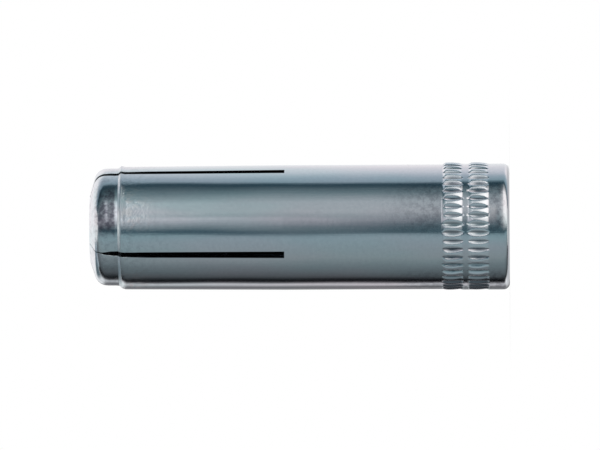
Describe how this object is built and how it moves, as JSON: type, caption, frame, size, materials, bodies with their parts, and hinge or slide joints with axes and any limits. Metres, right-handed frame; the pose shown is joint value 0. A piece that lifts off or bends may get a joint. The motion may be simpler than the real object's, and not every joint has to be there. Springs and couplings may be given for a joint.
{
  "type": "drop-in anchor",
  "caption": "Slotted steel drop-in anchor for a drilled hole, with a tapped mouth, a knurled barrel and a conical expander plug preset inside",
  "frame": {"origin": "centre of the flat ring at the mouth, which the anchor stands on", "axes": "+Z along the axis from the tapped mouth to the slotted nose; the slots lie on the X and Y planes"},
  "size_m": [0.0122, 0.0122, 0.04],
  "materials": {
    "zinc_plate": "bright zinc plate with a faint blue passivation, drawn lengthwise",
    "plug_steel": "cold-formed steel, satin"
  },
  "bodies": {
    "root": {"sleeve": "zinc_plate", "expander_plug": "plug_steel"}
  },
  "joints": []
}
